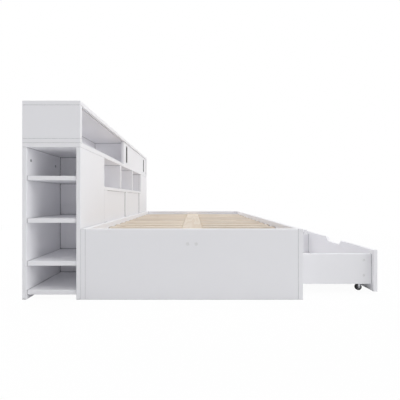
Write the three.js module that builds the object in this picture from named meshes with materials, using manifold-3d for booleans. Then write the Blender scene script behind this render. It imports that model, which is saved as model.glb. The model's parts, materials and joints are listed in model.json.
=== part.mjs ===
// Daybed with storage: a slatted single bed with two drawers on casters, beside a bookcase
// that runs along its whole length. Millimetres, +Z up. The near end faces -Y, the bookcase
// stands on the -X side and the drawers open towards +X. Inside the outer group, X starts at
// the bookcase's back, Y at the near end and Z at the floor.

import * as THREE from 'three';
import { mergeVertices } from 'three/addons/utils/BufferGeometryUtils.js';
import Module from 'manifold-3d';

const wasm = await Module();
wasm.setup();

// Whole object
const LENGTH = 1980;
const EDGE_EASE = 1;

// Bookcase, lower unit
const CASE_DEPTH = 274;
const CASE_BOARD = 20;
const LOWER_UNIT_HEIGHT = 736;
const END_MODULE_LENGTH = 376;
const BOTTOM_SHELF_HEIGHT = 22;
const LOWER_SHELF_HEIGHT = 158;
const MIDDLE_SHELF_HEIGHT = 360;
const UPPER_SHELF_HEIGHT = 561;
const SHELF_SET_BACK = 5;
const CUBBY_FLOOR_HEIGHT = 525;
const CUBBY_COUNT = 3;
const FACE_FRAME_BOARD = 10;
const END_STILE_WIDTH = 60;
const CENTRE_STILE_WIDTH = 90;
const BOTTOM_RAIL_HEIGHT = 100;
const RECESSED_BOARD = 15;

// Bookcase, upper unit
const UPPER_UNIT_HEIGHT = 197.5;
const DOOR_BOARD = 20;
const DOOR_SET_BACK = 7;
const DOOR_BACK_GAP = 3;
const DOOR_LENGTH = 1046;
const DOOR_FAR_END_DISTANCE = 30;
const DOOR_GAP = 2;
const TONGUE_THICKNESS = 8;
const LOWER_TONGUE_HEIGHT = 6;
const UPPER_TONGUE_HEIGHT = 4;
const LIFT_OUT_CLEARANCE = 1;
const GROOVE_SIDE_CLEARANCE = 0.5;
const GROOVE_FLOOR_CLEARANCE = 2;

// Door pulls
const PULL_HEIGHT = 133;
const PULL_WIDTH = 30;
const NEAR_PULL_DISTANCE = 95;
const FAR_PULL_DISTANCE = 141;
const PULL_PROUD = 1.5;
const PULL_LIP = 2.5;
const PULL_WALL = 2.5;
const PULL_CUP_DEPTH = 10;
const PULL_FIT = 0.3;
const PULL_ARC_STEPS = 10;

// Bed
const BED_BOARD = 22;
const BED_WIDTH = 1000;
const SIDE_HEIGHT = 332;
const RIM_ROUNDING = 5;
const RIM_ARC_STEPS = 4;
const SLAT_TOP_HEIGHT = 302;
const SLAT_THICKNESS = 15;
const SLAT_WIDTH = 70;
const SLAT_COUNT = 13;
const SLAT_END_GAP = 87;
const SLAT_SIDE_GAP = 2;
const TAPE_WIDTH = 20;
const TAPE_THICKNESS = 1.5;
const TAPE_INSET = 60;
const TAPE_BITE = 0.5;
const LEDGE_WIDTH = 30;
const LEDGE_HEIGHT = 30;
const BEAM_WIDTH = 118;
const BEAM_HEIGHT = 65;
const BEAM_LEDGE_WIDTH = 25;
const LEG_SIZE = 60;
const END_POST_WIDTH = 80;
const CENTRE_POST_WIDTH = 80;
const DRAWER_OPENING_HEIGHT = 221;

// Drawers
const NEAR_DRAWER_OPEN = 400;
const FAR_DRAWER_OPEN = 413;
const FRONT_BOARD = 20;
const FRONT_SIDE_GAP = 2.5;
const FRONT_TOP_GAP = 3;
const FRONT_FLOOR_GAP = 12;
const NOTCH_TOP_WIDTH = 206;
const NOTCH_FLOOR_WIDTH = 156;
const NOTCH_DEPTH = 26;
const BOX_BOARD = 15;
const BOX_DEPTH = 620;
const BOX_SET_IN = 17.5;
const BOX_FLOOR_GAP = 45;
const BOX_HEIGHT = 150.5;
const BOX_BOTTOM_SHEET = 8;

// Casters
const WHEEL_RADIUS = 16.5;
const WHEEL_WIDTH = 16;
const TYRE_DEPTH = 5;
const TYRE_ROUNDING = 3;
const WEB_RECESS = 3;
const HUB_RADIUS = 7;
const AXLE_RADIUS = 3;
const AXLE_CLEARANCE = 0.3;
const FORK_WIDTH = 10;
const FORK_SHEET = 2;
const FORK_CLEARANCE = 1;
const RAIL_SHEET = 3;
const RAIL_WIDTH = 40;
const RAIL_END_GAP = 8;
const CASTER_FRONT_DISTANCE = 40;
const CASTER_SIDE_DISTANCE = 50;
const WHEEL_SEGMENTS = 28;
const EYE_SEGMENTS = 16;

// Sizes that follow
const CASE_BOARD_TOP = LOWER_UNIT_HEIGHT - CASE_BOARD;
const CASE_HEIGHT = LOWER_UNIT_HEIGHT + UPPER_UNIT_HEIGHT;
const TOP_BOARD_UNDERSIDE = CASE_HEIGHT - CASE_BOARD;
const RAIL_OUTER_X = CASE_DEPTH;
const BED_INNER_X = RAIL_OUTER_X + BED_BOARD;
const BED_INNER_END_X = BED_INNER_X + BED_WIDTH;
const BED_OUTER_X = BED_INNER_END_X + BED_BOARD;
const BED_CENTRE_X = BED_INNER_X + BED_WIDTH / 2;
const SLAT_UNDERSIDE = SLAT_TOP_HEIGHT - SLAT_THICKNESS;
const BEAM_UNDERSIDE = SLAT_TOP_HEIGHT - BEAM_HEIGHT;
const DRAWER_OPENING_WIDTH = (LENGTH - 2 * END_POST_WIDTH - CENTRE_POST_WIDTH) / 2;
const DOOR_NEAR_EDGE = LENGTH - DOOR_FAR_END_DISTANCE - DOOR_LENGTH;
const DOOR_BACK_X = CASE_DEPTH - DOOR_SET_BACK - DOOR_BOARD;
const DOOR_RUN_X = DOOR_BACK_X - DOOR_BACK_GAP;

const WHITE = { color: 0xf0f0f2, roughness: 0.45, metalness: 0 };
const PINE = { color: 0xd9ccb8, roughness: 0.7, metalness: 0 };
const BLACK_PLASTIC = { color: 0x1d1e20, roughness: 0.5, metalness: 0 };
const TYRE_BLACK = { color: 0x232325, roughness: 0.7, metalness: 0 };
const ZINC = { color: 0xb4b6b9, roughness: 0.4, metalness: 0.9 };

// Local x, y and z of an outline's extrusion become Y, Z and X of the bed
const FACING_X = new THREE.Euler(Math.PI / 2, Math.PI / 2, 0);
// Local x and y become X and Z of the bed, and the extrusion runs towards -Y
const FACING_Y = new THREE.Euler(Math.PI / 2, 0, 0);

function mesh(name, geometry, finish) {
  const made = new THREE.Mesh(geometry, new THREE.MeshStandardMaterial(finish));
  made.name = name;
  return made;
}

function outlineShape(points) {
  return new THREE.Shape(points.map(([u, v]) => new THREE.Vector2(u, v)));
}

// An extrusion from 0 to depth along local z, with its edges eased by a small chamfer
function easedExtrusion(points, depth, ease = EDGE_EASE) {
  const geometry = new THREE.ExtrudeGeometry(outlineShape(points), {
    depth: depth - 2 * ease,
    bevelEnabled: true,
    bevelThickness: ease,
    bevelSize: ease,
    bevelOffset: -ease,
    bevelSegments: 1,
  });
  geometry.translate(0, 0, ease);
  return geometry;
}

// A box whose twelve edges are eased, from 0 to its size along each axis
function easedBox(sizeX, sizeY, sizeZ, ease = EDGE_EASE) {
  const corners = [
    [ease, 0],
    [sizeX - ease, 0],
    [sizeX, ease],
    [sizeX, sizeY - ease],
    [sizeX - ease, sizeY],
    [ease, sizeY],
    [0, sizeY - ease],
    [0, ease],
  ];
  return easedExtrusion(corners, sizeZ, ease);
}

// A board between pairs of coordinates [low, high]
function board(name, x, y, z, finish = WHITE) {
  const geometry = easedBox(x[1] - x[0], y[1] - y[0], z[1] - z[0]);
  const made = mesh(name, geometry, finish);
  made.position.set(x[0], y[0], z[0]);
  return made;
}

// A flat board cut to an outline of Y and Z points, its faces at x and x + thickness
function boardFacingX(name, points, x, thickness, finish = WHITE) {
  const made = mesh(name, easedExtrusion(points, thickness), finish);
  made.rotation.copy(FACING_X);
  made.position.set(x, 0, 0);
  return made;
}

function toSolid(geometry) {
  const bare = geometry.clone();
  bare.deleteAttribute('normal');
  bare.deleteAttribute('uv');
  const merged = mergeVertices(bare);
  return new wasm.Manifold(new wasm.Mesh({
    numProp: 3,
    vertProperties: Float32Array.from(merged.attributes.position.array),
    triVerts: Uint32Array.from(merged.index.array),
  }));
}

function toGeometry(solid) {
  const result = solid.getMesh();
  const indexed = new THREE.BufferGeometry();
  indexed.setAttribute('position', new THREE.BufferAttribute(new Float32Array(result.vertProperties), 3));
  indexed.setIndex(new THREE.BufferAttribute(new Uint32Array(result.triVerts), 1));
  const geometry = indexed.toNonIndexed();
  geometry.computeVertexNormals();
  return geometry;
}

// A closed box between pairs of coordinates, eased or with sharp edges, ready for cuts and joins
function boxSolid(x, y, z, ease = EDGE_EASE) {
  const sizes = [x[1] - x[0], y[1] - y[0], z[1] - z[0]];
  const geometry = ease > 0 ? easedBox(...sizes, ease) : new THREE.BoxGeometry(...sizes);
  if (ease > 0) {
    geometry.translate(x[0], y[0], z[0]);
  } else {
    geometry.translate((x[0] + x[1]) / 2, (y[0] + y[1]) / 2, (z[0] + z[1]) / 2);
  }
  return toSolid(geometry);
}

function joined(solids) {
  return solids.reduce((sum, solid) => sum.add(solid));
}

// The two boards of an end module stand on the floor and carry the lower top board
function endModule(side, mirror) {
  const span = (from, to) => (mirror ? [LENGTH - to, LENGTH - from] : [from, to]);
  const whole = span(0, END_MODULE_LENGTH);
  const inner = span(SHELF_SET_BACK, END_MODULE_LENGTH - CASE_BOARD);
  const between = [CASE_BOARD, CASE_DEPTH - CASE_BOARD];
  const partitionSpan = span(END_MODULE_LENGTH - CASE_BOARD, END_MODULE_LENGTH);
  const shelves = [
    ['bottom_shelf', BOTTOM_SHELF_HEIGHT],
    ['lower_shelf', LOWER_SHELF_HEIGHT],
    ['middle_shelf', MIDDLE_SHELF_HEIGHT],
    ['upper_shelf', UPPER_SHELF_HEIGHT],
  ];
  return [
    board(`${side}_rear_panel`, [0, CASE_BOARD], whole, [0, CASE_BOARD_TOP]),
    board(`${side}_front_panel`, [CASE_DEPTH - CASE_BOARD, CASE_DEPTH], whole, [0, CASE_BOARD_TOP]),
    board(`${side}_partition`, between, partitionSpan, [0, CASE_BOARD_TOP]),
    ...shelves.map(([name, height]) =>
      board(`${side}_${name}`, between, inner, [height, height + CASE_BOARD])),
  ];
}

// The long groove that a tongue of the sliding door runs in, cut into a board's face
function doorGroove(z) {
  const doorCentreX = DOOR_BACK_X + DOOR_BOARD / 2;
  const halfWidth = TONGUE_THICKNESS / 2 + GROOVE_SIDE_CLEARANCE;
  const sharp = 0;
  return boxSolid(
    [doorCentreX - halfWidth, doorCentreX + halfWidth],
    [CASE_BOARD, LENGTH - CASE_BOARD],
    z,
    sharp,
  );
}

function lowerTopBoard() {
  const whole = boxSolid([0, CASE_DEPTH], [0, LENGTH], [CASE_BOARD_TOP, LOWER_UNIT_HEIGHT]);
  const depth = LOWER_TONGUE_HEIGHT + GROOVE_FLOOR_CLEARANCE;
  const groove = doorGroove([LOWER_UNIT_HEIGHT - depth, LOWER_UNIT_HEIGHT + EDGE_EASE]);
  return mesh('lower_top_board', toGeometry(whole.subtract(groove)), WHITE);
}

// The middle of the lower unit: cubbies above, recessed panels behind a face frame below
function cubbySection() {
  const start = END_MODULE_LENGTH;
  const end = LENGTH - END_MODULE_LENGTH;
  const cubbyFloor = [CUBBY_FLOOR_HEIGHT, CUBBY_FLOOR_HEIGHT + CASE_BOARD];
  const pieces = [
    board('middle_back_panel', [0, CASE_BOARD], [start, end], [0, CASE_BOARD_TOP]),
    board('cubby_floor', [CASE_BOARD, CASE_DEPTH], [start, end], cubbyFloor),
  ];
  const cubbyWidth = (end - start - (CUBBY_COUNT - 1) * CASE_BOARD) / CUBBY_COUNT;
  for (let i = 1; i < CUBBY_COUNT; i += 1) {
    const y = start + i * cubbyWidth + (i - 1) * CASE_BOARD;
    const height = [cubbyFloor[1], CASE_BOARD_TOP];
    pieces.push(board(`cubby_divider_${i}`, [CASE_BOARD, CASE_DEPTH], [y, y + CASE_BOARD], height));
  }
  pieces.push(faceFrame(start, end));
  const frameBack = CASE_DEPTH - FACE_FRAME_BOARD;
  const recessedSpan = [frameBack - RECESSED_BOARD, frameBack];
  pieces.push(board('recessed_panel', recessedSpan, [start, end], [0, CUBBY_FLOOR_HEIGHT]));
  return pieces;
}

// A bottom rail with three stiles that reach up to the cubby floor
function faceFrame(start, end) {
  const middle = (start + end) / 2;
  const stiles = [
    [start, start + END_STILE_WIDTH],
    [middle - CENTRE_STILE_WIDTH / 2, middle + CENTRE_STILE_WIDTH / 2],
    [end - END_STILE_WIDTH, end],
  ];
  const points = [[start, 0], [end, 0]];
  for (const [near, far] of stiles.reverse()) {
    if (far < end) {
      points.push([far, BOTTOM_RAIL_HEIGHT]);
    }
    points.push([far, CUBBY_FLOOR_HEIGHT]);
    points.push([near, CUBBY_FLOOR_HEIGHT]);
    if (near > start) {
      points.push([near, BOTTOM_RAIL_HEIGHT]);
    }
  }
  return boardFacingX('face_frame', points, CASE_DEPTH - FACE_FRAME_BOARD, FACE_FRAME_BOARD);
}

// The board between the units is cut back along the door's run, and whole at both ends
function upperBottomBoard() {
  const height = [LOWER_UNIT_HEIGHT, LOWER_UNIT_HEIGHT + CASE_BOARD];
  const points = [
    [0, 0],
    [CASE_DEPTH, 0],
    [CASE_DEPTH, CASE_BOARD],
    [DOOR_RUN_X, CASE_BOARD],
    [DOOR_RUN_X, LENGTH - CASE_BOARD],
    [CASE_DEPTH, LENGTH - CASE_BOARD],
    [CASE_DEPTH, LENGTH],
    [0, LENGTH],
  ];
  const made = mesh('upper_bottom_board', easedExtrusion(points, CASE_BOARD), WHITE);
  made.position.set(0, 0, height[0]);
  return made;
}

function upperTopBoard() {
  const whole = boxSolid([0, CASE_DEPTH], [0, LENGTH], [TOP_BOARD_UNDERSIDE, CASE_HEIGHT]);
  const depth = UPPER_TONGUE_HEIGHT + LOWER_TONGUE_HEIGHT + LIFT_OUT_CLEARANCE;
  const groove = doorGroove([TOP_BOARD_UNDERSIDE - EDGE_EASE, TOP_BOARD_UNDERSIDE + depth]);
  return mesh('upper_top_board', toGeometry(whole.subtract(groove)), WHITE);
}

function upperUnit() {
  const inside = [LOWER_UNIT_HEIGHT + CASE_BOARD, TOP_BOARD_UNDERSIDE];
  const whole = [0, CASE_DEPTH];
  const dividerNear = (LENGTH - CASE_BOARD) / 2;
  const dividerDepth = [CASE_BOARD, DOOR_RUN_X];
  return [
    upperBottomBoard(),
    board('near_upper_end_panel', whole, [0, CASE_BOARD], inside),
    board('far_upper_end_panel', whole, [LENGTH - CASE_BOARD, LENGTH], inside),
    board('upper_back_panel', [0, CASE_BOARD], [CASE_BOARD, LENGTH - CASE_BOARD], inside),
    board('upper_divider', dividerDepth, [dividerNear, dividerNear + CASE_BOARD], inside),
    upperTopBoard(),
  ];
}

// A slot with round ends, upright along local y and centred on the origin
function stadium(width, height) {
  const radius = width / 2;
  const straight = height / 2 - radius;
  const shape = new THREE.Shape();
  shape.absarc(0, straight, radius, 0, Math.PI, false);
  shape.absarc(0, -straight, radius, Math.PI, 2 * Math.PI, false);
  return shape;
}

// A stadium block along X between x[0] and x[1], centred on Y and Z of 0
function stadiumSolid(width, height, x) {
  const geometry = new THREE.ExtrudeGeometry(stadium(width, height), {
    depth: x[1] - x[0],
    bevelEnabled: false,
    curveSegments: PULL_ARC_STEPS,
  });
  geometry.applyMatrix4(new THREE.Matrix4().makeRotationFromEuler(FACING_X));
  geometry.translate(x[0], 0, 0);
  return toSolid(geometry);
}

// Black flush pull: a lip on the door's face and a cup let into the door behind it
function doorPull(name) {
  const cupWidth = PULL_WIDTH - 2 * PULL_LIP;
  const cupHeight = PULL_HEIGHT - 2 * PULL_LIP;
  const lip = stadiumSolid(PULL_WIDTH, PULL_HEIGHT, [0, PULL_PROUD]);
  const cup = stadiumSolid(cupWidth, cupHeight, [-PULL_CUP_DEPTH, PULL_PROUD / 2]);
  const hollowWidth = cupWidth - 2 * PULL_WALL;
  const hollowHeight = cupHeight - 2 * PULL_WALL;
  const hollow = stadiumSolid(hollowWidth, hollowHeight, [-PULL_CUP_DEPTH + PULL_WALL, 2 * PULL_PROUD]);
  return mesh(name, toGeometry(lip.add(cup).subtract(hollow)), BLACK_PLASTIC);
}

// The door's section is a board with a tongue above and a longer one below
function doorSection(height) {
  const tongueBack = (DOOR_BOARD - TONGUE_THICKNESS) / 2;
  const tongueFront = tongueBack + TONGUE_THICKNESS;
  const lowerTip = -DOOR_GAP - LOWER_TONGUE_HEIGHT;
  const upperTip = height + DOOR_GAP + UPPER_TONGUE_HEIGHT;
  return [
    [0, 0],
    [tongueBack, 0],
    [tongueBack, lowerTip],
    [tongueFront, lowerTip],
    [tongueFront, 0],
    [DOOR_BOARD, 0],
    [DOOR_BOARD, height],
    [tongueFront, height],
    [tongueFront, upperTip],
    [tongueBack, upperTip],
    [tongueBack, height],
    [0, height],
  ];
}

function slidingDoor() {
  const height = TOP_BOARD_UNDERSIDE - LOWER_UNIT_HEIGHT - 2 * DOOR_GAP;
  const geometry = easedExtrusion(doorSection(height), DOOR_LENGTH);
  geometry.applyMatrix4(new THREE.Matrix4().makeRotationFromEuler(FACING_Y));
  geometry.translate(0, DOOR_LENGTH, 0);
  let door = toSolid(geometry);
  const pulls = [];
  const pullPlaces = [
    ['near_door_pull', NEAR_PULL_DISTANCE],
    ['far_door_pull', DOOR_LENGTH - FAR_PULL_DISTANCE],
  ];
  const pocketWidth = PULL_WIDTH - 2 * PULL_LIP + 2 * PULL_FIT;
  const pocketHeight = PULL_HEIGHT - 2 * PULL_LIP + 2 * PULL_FIT;
  for (const [name, y] of pullPlaces) {
    const depth = [DOOR_BOARD - PULL_CUP_DEPTH - PULL_FIT, DOOR_BOARD + EDGE_EASE];
    const pocket = stadiumSolid(pocketWidth, pocketHeight, depth);
    door = door.subtract(pocket.translate(0, y, height / 2));
    const pull = doorPull(name);
    pull.position.set(DOOR_BOARD, y, height / 2);
    pulls.push(pull);
  }
  const group = new THREE.Group();
  group.add(mesh('sliding_door', toGeometry(door), WHITE), ...pulls);
  group.position.set(DOOR_BACK_X, DOOR_NEAR_EDGE, LOWER_UNIT_HEIGHT + DOOR_GAP);
  return group;
}

// The section of the bed's upright boards: eased edges at the floor and a rounded rim
function rimSection() {
  const section = [
    [0, EDGE_EASE],
    [EDGE_EASE, 0],
    [BED_BOARD - EDGE_EASE, 0],
    [BED_BOARD, EDGE_EASE],
  ];
  const corners = [
    [BED_BOARD - RIM_ROUNDING, 0],
    [RIM_ROUNDING, Math.PI / 2],
  ];
  for (const [centre, start] of corners) {
    for (let i = 0; i <= RIM_ARC_STEPS; i += 1) {
      const angle = start + (i / RIM_ARC_STEPS) * (Math.PI / 2);
      const up = SIDE_HEIGHT - RIM_ROUNDING + RIM_ROUNDING * Math.sin(angle);
      section.push([centre + RIM_ROUNDING * Math.cos(angle), up]);
    }
  }
  return section;
}

function endPanel(name, y) {
  const made = mesh(name, easedExtrusion(rimSection(), BED_WIDTH), WHITE);
  made.rotation.copy(FACING_X);
  made.position.set(BED_INNER_X, y, 0);
  return made;
}

// An upright board along the bed's whole length, from x to x plus its thickness
function longBoard(x) {
  const geometry = easedExtrusion(rimSection(), LENGTH);
  geometry.applyMatrix4(new THREE.Matrix4().makeRotationFromEuler(FACING_Y));
  geometry.translate(x, LENGTH, 0);
  return toSolid(geometry);
}

// The side rail against the bookcase, with the ledge that the slats' ends lie on
function rearRail() {
  const ledge = slatLedge([BED_INNER_X - EDGE_EASE, BED_INNER_X + LEDGE_WIDTH]);
  return mesh('rear_rail', toGeometry(longBoard(RAIL_OUTER_X).add(ledge)), WHITE);
}

function slatLedge(x) {
  const height = [SLAT_UNDERSIDE - LEDGE_HEIGHT, SLAT_UNDERSIDE];
  return boxSolid(x, [BED_BOARD, LENGTH - BED_BOARD], height);
}

// The long front board: three posts under a top rail, with an opening for each drawer
function bedFrontPanel() {
  const nearOpening = [END_POST_WIDTH, END_POST_WIDTH + DRAWER_OPENING_WIDTH];
  const farOpening = [LENGTH - nearOpening[1], LENGTH - nearOpening[0]];
  const points = [
    [0, 0],
    [nearOpening[0], 0],
    [nearOpening[0], DRAWER_OPENING_HEIGHT],
    [nearOpening[1], DRAWER_OPENING_HEIGHT],
    [nearOpening[1], 0],
    [farOpening[0], 0],
    [farOpening[0], DRAWER_OPENING_HEIGHT],
    [farOpening[1], DRAWER_OPENING_HEIGHT],
    [farOpening[1], 0],
    [LENGTH, 0],
    [LENGTH, SIDE_HEIGHT],
    [0, SIDE_HEIGHT],
  ];
  const geometry = easedExtrusion(points, BED_BOARD);
  geometry.applyMatrix4(new THREE.Matrix4().makeRotationFromEuler(FACING_X));
  geometry.translate(BED_INNER_END_X, 0, 0);
  const panel = toSolid(geometry).intersect(longBoard(BED_INNER_END_X));
  const ledge = slatLedge([BED_INNER_END_X - LEDGE_WIDTH, BED_INNER_END_X + EDGE_EASE]);
  return mesh('bed_front_panel', toGeometry(panel.add(ledge)), WHITE);
}

// The centre beam: a wide top flush with the slats and a ledge on each side to carry them
function centreBeam() {
  const length = LENGTH - 2 * BED_BOARD;
  const halfTop = BEAM_WIDTH / 2;
  const halfBase = halfTop + BEAM_LEDGE_WIDTH;
  const points = [
    [-halfBase, BEAM_UNDERSIDE],
    [halfBase, BEAM_UNDERSIDE],
    [halfBase, SLAT_UNDERSIDE],
    [halfTop, SLAT_UNDERSIDE],
    [halfTop, SLAT_TOP_HEIGHT],
    [-halfTop, SLAT_TOP_HEIGHT],
    [-halfTop, SLAT_UNDERSIDE],
    [-halfBase, SLAT_UNDERSIDE],
  ];
  const made = mesh('centre_beam', easedExtrusion(points, length), PINE);
  made.rotation.copy(FACING_Y);
  made.position.set(BED_CENTRE_X, LENGTH - BED_BOARD, 0);
  return made;
}

// Half-width slats on two tapes, which keep their spacing when the roll is laid out
function slatRoll(name, x) {
  const firstSlat = BED_BOARD + SLAT_END_GAP;
  const lastSlat = LENGTH - BED_BOARD - SLAT_END_GAP - SLAT_WIDTH;
  const pitch = (lastSlat - firstSlat) / (SLAT_COUNT - 1);
  const solids = [];
  for (let i = 0; i < SLAT_COUNT; i += 1) {
    const y = firstSlat + i * pitch;
    solids.push(boxSolid(x, [y, y + SLAT_WIDTH], [SLAT_UNDERSIDE, SLAT_TOP_HEIGHT]));
  }
  const tapeHeight = [SLAT_UNDERSIDE - TAPE_THICKNESS, SLAT_UNDERSIDE + TAPE_BITE];
  const tapeSpan = [firstSlat + EDGE_EASE * 2, lastSlat + SLAT_WIDTH - EDGE_EASE * 2];
  const sharp = 0;
  for (const centre of [x[0] + TAPE_INSET, x[1] - TAPE_INSET]) {
    const width = [centre - TAPE_WIDTH / 2, centre + TAPE_WIDTH / 2];
    solids.push(boxSolid(width, tapeSpan, tapeHeight, sharp));
  }
  return mesh(name, toGeometry(joined(solids)), PINE);
}

function bed() {
  const beamSide = BEAM_WIDTH / 2 + SLAT_SIDE_GAP;
  const rearSlats = [BED_INNER_X + SLAT_SIDE_GAP, BED_CENTRE_X - beamSide];
  const frontSlats = [BED_CENTRE_X + beamSide, BED_INNER_END_X - SLAT_SIDE_GAP];
  const legX = [BED_CENTRE_X - LEG_SIZE / 2, BED_CENTRE_X + LEG_SIZE / 2];
  const legY = [(LENGTH - LEG_SIZE) / 2, (LENGTH + LEG_SIZE) / 2];
  return [
    endPanel('near_end_panel', 0),
    endPanel('far_end_panel', LENGTH - BED_BOARD),
    rearRail(),
    bedFrontPanel(),
    centreBeam(),
    board('centre_leg', legX, legY, [0, BEAM_UNDERSIDE], PINE),
    slatRoll('rear_slat_roll', rearSlats),
    slatRoll('front_slat_roll', frontSlats),
  ];
}

// The drawer front has a sloping notch in its top edge for the hand
function drawerFront(name) {
  const half = DRAWER_OPENING_WIDTH / 2 - FRONT_SIDE_GAP;
  const top = DRAWER_OPENING_HEIGHT - FRONT_TOP_GAP;
  const points = [
    [-half, FRONT_FLOOR_GAP],
    [half, FRONT_FLOOR_GAP],
    [half, top],
    [NOTCH_TOP_WIDTH / 2, top],
    [NOTCH_FLOOR_WIDTH / 2, top - NOTCH_DEPTH],
    [-NOTCH_FLOOR_WIDTH / 2, top - NOTCH_DEPTH],
    [-NOTCH_TOP_WIDTH / 2, top],
    [-half, top],
  ];
  return boardFacingX(name, points, -FRONT_BOARD, FRONT_BOARD);
}

// One arm of a caster's fork: straight sides down to a round eye about the axle
function forkArm(x, y) {
  const radius = FORK_WIDTH / 2;
  const shape = new THREE.Shape();
  shape.moveTo(radius, BOX_FLOOR_GAP + RAIL_SHEET / 2);
  shape.lineTo(-radius, BOX_FLOOR_GAP + RAIL_SHEET / 2);
  shape.absarc(0, WHEEL_RADIUS, radius, Math.PI, 2 * Math.PI, false);
  const geometry = new THREE.ExtrudeGeometry(shape, {
    depth: FORK_SHEET,
    bevelEnabled: false,
    curveSegments: EYE_SEGMENTS,
  });
  geometry.applyMatrix4(new THREE.Matrix4().makeRotationFromEuler(FACING_Y));
  geometry.translate(x, y + FORK_SHEET, 0);
  return toSolid(geometry);
}

// A zinc-plated strip under the drawer's bottom, with a pressed fork and axle at each end
function casterRail(name, y, wheelPlaces) {
  const backX = -FRONT_BOARD - BOX_DEPTH + BOX_BOARD + RAIL_END_GAP;
  const frontX = -FRONT_BOARD - RAIL_END_GAP;
  const strip = [BOX_FLOOR_GAP, BOX_FLOOR_GAP + RAIL_SHEET];
  const sharp = 0;
  const solids = [boxSolid([backX, frontX], [y - RAIL_WIDTH / 2, y + RAIL_WIDTH / 2], strip, sharp)];
  const armGap = WHEEL_WIDTH / 2 + FORK_CLEARANCE;
  for (const x of wheelPlaces) {
    solids.push(forkArm(x, y - armGap - FORK_SHEET), forkArm(x, y + armGap));
    const axle = new THREE.CylinderGeometry(AXLE_RADIUS, AXLE_RADIUS, 2 * armGap + FORK_SHEET, EYE_SEGMENTS);
    axle.translate(x, y, WHEEL_RADIUS);
    solids.push(toSolid(axle));
  }
  return mesh(name, toGeometry(joined(solids)), ZINC);
}

// A wheel that turns about its own Y axis: hub, thin web and a tyre with rounded shoulders
function casterWheel(name) {
  const half = WHEEL_WIDTH / 2;
  const bore = AXLE_RADIUS + AXLE_CLEARANCE;
  const rim = WHEEL_RADIUS - TYRE_DEPTH;
  const shoulder = WHEEL_RADIUS - TYRE_ROUNDING;
  const diagonal = TYRE_ROUNDING * Math.SQRT1_2;
  const side = [
    [WHEEL_RADIUS, half - TYRE_ROUNDING],
    [shoulder + diagonal, half - TYRE_ROUNDING + diagonal],
    [shoulder, half],
    [rim, half],
    [rim, half - WEB_RECESS],
    [HUB_RADIUS, half - WEB_RECESS],
    [HUB_RADIUS, half],
    [bore, half],
  ];
  const otherSide = side.map(([radius, y]) => [radius, -y]).reverse();
  const closing = otherSide[0];
  const profile = [...otherSide, ...side, closing];
  const points = profile.map(([radius, y]) => new THREE.Vector2(radius, y));
  return mesh(name, new THREE.LatheGeometry(points, WHEEL_SEGMENTS), TYRE_BLACK);
}

// One drawer about the middle of its opening, with X from the front's outer face
function drawer(name) {
  const half = DRAWER_OPENING_WIDTH / 2 - FRONT_SIDE_GAP - BOX_SET_IN;
  const innerHalf = half - BOX_BOARD;
  const boxX = [-FRONT_BOARD - BOX_DEPTH, -FRONT_BOARD];
  const innerX = [boxX[0] + BOX_BOARD, boxX[1]];
  const height = [BOX_FLOOR_GAP, BOX_FLOOR_GAP + BOX_HEIGHT];
  const sheetZ = BOX_FLOOR_GAP + RAIL_SHEET;
  const sheet = [sheetZ, sheetZ + BOX_BOTTOM_SHEET];
  const group = new THREE.Group();
  group.add(
    drawerFront(`${name}_front`),
    board(`${name}_left_side`, boxX, [-half, -innerHalf], height),
    board(`${name}_right_side`, boxX, [innerHalf, half], height),
    board(`${name}_back`, [boxX[0], innerX[0]], [-innerHalf, innerHalf], height),
    board(`${name}_bottom`, innerX, [-innerHalf, innerHalf], sheet),
  );
  const wheelPlaces = [
    ['front', boxX[1] - CASTER_FRONT_DISTANCE],
    ['back', boxX[0] + CASTER_FRONT_DISTANCE],
  ];
  const wheelY = half - CASTER_SIDE_DISTANCE;
  for (const [side, y] of [['left', -wheelY], ['right', wheelY]]) {
    group.add(casterRail(`${name}_${side}_caster_rail`, y, wheelPlaces.map(([, x]) => x)));
    for (const [end, x] of wheelPlaces) {
      const wheel = casterWheel(`${name}_${side}_${end}_wheel`);
      wheel.position.set(x, y, WHEEL_RADIUS);
      group.add(wheel);
    }
  }
  return group;
}

function drawers() {
  const nearCentre = END_POST_WIDTH + DRAWER_OPENING_WIDTH / 2;
  const near = drawer('near_drawer');
  near.position.set(BED_OUTER_X + NEAR_DRAWER_OPEN, nearCentre, 0);
  const far = drawer('far_drawer');
  far.position.set(BED_OUTER_X + FAR_DRAWER_OPEN, LENGTH - nearCentre, 0);
  return [near, far];
}

// The origin is on the floor, under the middle of the whole object with both drawers open
const daybed = new THREE.Group();
const outermostX = BED_OUTER_X + Math.max(NEAR_DRAWER_OPEN, FAR_DRAWER_OPEN);
daybed.position.set(-outermostX / 2, -LENGTH / 2, 0);
daybed.add(
  lowerTopBoard(),
  ...endModule('near', false),
  ...endModule('far', true),
  ...cubbySection(),
  ...upperUnit(),
  slidingDoor(),
  ...bed(),
  ...drawers(),
);

export default daybed;
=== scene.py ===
import json
import math
import random

import bmesh
import bpy
from bpy.props import FloatProperty, FloatVectorProperty, IntProperty, PointerProperty
from mathutils import Matrix, Vector


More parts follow.
